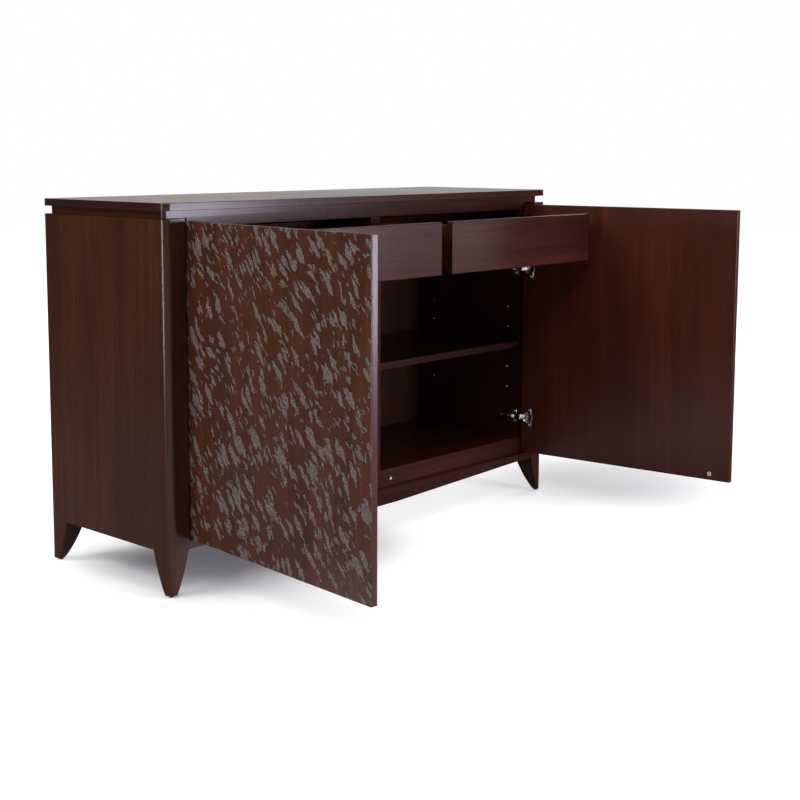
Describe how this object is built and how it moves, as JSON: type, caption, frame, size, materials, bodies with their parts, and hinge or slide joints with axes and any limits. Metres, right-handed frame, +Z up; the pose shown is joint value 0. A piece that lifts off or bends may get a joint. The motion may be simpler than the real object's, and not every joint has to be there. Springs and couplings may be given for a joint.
{
  "type": "two-door cabinet",
  "caption": "Wide wooden cabinet on tapered feet, with hinged doors, a drawer above a shelf in each bay, and a slab top over a recessed neck.",
  "frame": {"origin": "on the floor, under the middle of the part's box as it stands at rest with its doors open and its drawers pulled out", "axes": "+X to the right as seen from the front, +Y to the back, +Z up"},
  "size_m": [1.5294, 1.1672, 0.965],
  "materials": {
    "case_wood": "dark espresso stain under satin lacquer",
    "front_wood": "dark plum-brown veneer under satin lacquer",
    "inside_wood": "very dark brown lacquer",
    "door_wood": "dark brown veneer under satin lacquer",
    "door_sheet": "red-brown sheet with grey-taupe recessed flecks",
    "nickel": "nickel plate",
    "zinc": "zinc plate",
    "black_plastic": "moulded",
    "white_plastic": "moulded"
  },
  "bodies": {
    "cabinet": {"apron_back": "inside_wood", "apron_front": "front_wood", "back_panel": "inside_wood", "base_rail": "front_wood", "bottom_board": "inside_wood", "case_top_panel": "inside_wood", "centre_partition": "inside_wood", "front_top_rail": "front_wood", "glides": "black_plastic", "hinge_arms": "nickel", "hinge_plate_screws": "nickel", "hinge_plates": "nickel", "latch_barrels": "black_plastic", "left_back_leg": "case_wood", "left_cabinet_runners": "zinc", "left_drawer_spacer": "inside_wood", "left_front_leg": "case_wood", "left_inner_side": "inside_wood", "left_neck": "case_wood", "left_shelf": "inside_wood", "left_side_panel": "case_wood", "neck_back": "case_wood", "pin_sleeves": "zinc", "right_back_leg": "case_wood", "right_cabinet_runners": "zinc", "right_drawer_spacer": "inside_wood", "right_front_leg": "case_wood", "right_inner_side": "inside_wood", "right_neck": "case_wood", "right_shelf": "inside_wood", "right_side_panel": "case_wood", "shelf_pins": "zinc", "top_slab": "case_wood"},
    "left_door": {"left_door_core": "door_wood", "left_door_face": "door_sheet", "left_hinge_cups": "nickel", "left_cup_screws": "nickel", "left_strike": "nickel"},
    "left_drawer": {"left_drawer_front": "front_wood", "left_drawer_inner_wall": "inside_wood", "left_drawer_outer_wall": "inside_wood", "left_drawer_floor": "inside_wood", "left_drawer_back": "inside_wood", "left_drawer_runners": "zinc"},
    "left_runner": {"left_middle_runners": "zinc"},
    "left_plunger": {"left_latch_plunger": "white_plastic"},
    "right_door": {"right_door_core": "door_wood", "right_door_face": "door_sheet", "right_hinge_cups": "nickel", "right_cup_screws": "nickel", "right_strike": "nickel"},
    "right_drawer": {"right_drawer_front": "front_wood", "right_drawer_inner_wall": "inside_wood", "right_drawer_outer_wall": "inside_wood", "right_drawer_floor": "inside_wood", "right_drawer_back": "inside_wood", "right_drawer_runners": "zinc"},
    "right_runner": {"right_middle_runners": "zinc"},
    "right_plunger": {"right_latch_plunger": "white_plastic"}
  },
  "joints": [
    {"name": "left_door_hinge", "type": "hinge", "parent": "cabinet", "child": "left_door", "pos_m": [-0.6863, 0.09865, 0.5285], "axis": [0, 0, -1], "range_deg": [-7, 14]},
    {"name": "left_drawer_slide", "type": "slide", "parent": "cabinet", "child": "left_drawer", "axis": [0, -1, 0], "range_m": [-0.26, 0.12]},
    {"name": "left_runner_slide", "type": "slide", "parent": "cabinet", "child": "left_runner", "axis": [0, -1, 0], "range_m": [-0.13, 0.06]},
    {"name": "left_latch_press", "type": "slide", "parent": "cabinet", "child": "left_plunger", "axis": [0, 1, 0], "range_m": [0, 0.004], "stiffness_N_per_m": 150},
    {"name": "right_door_hinge", "type": "hinge", "parent": "cabinet", "child": "right_door", "pos_m": [0.6863, 0.09865, 0.5285], "axis": [0, 0, 1], "range_deg": [-7, 14]},
    {"name": "right_drawer_slide", "type": "slide", "parent": "cabinet", "child": "right_drawer", "axis": [0, -1, 0], "range_m": [-0.26, 0.12]},
    {"name": "right_runner_slide", "type": "slide", "parent": "cabinet", "child": "right_runner", "axis": [0, -1, 0], "range_m": [-0.13, 0.06]},
    {"name": "right_latch_press", "type": "slide", "parent": "cabinet", "child": "right_plunger", "axis": [0, 1, 0], "range_m": [0, 0.004], "stiffness_N_per_m": 150}
  ],
  "couplings": [
    {"joint": "left_runner_slide", "follows": "left_drawer_slide", "ratio": 0.5},
    {"joint": "right_runner_slide", "follows": "right_drawer_slide", "ratio": 0.5}
  ]
}
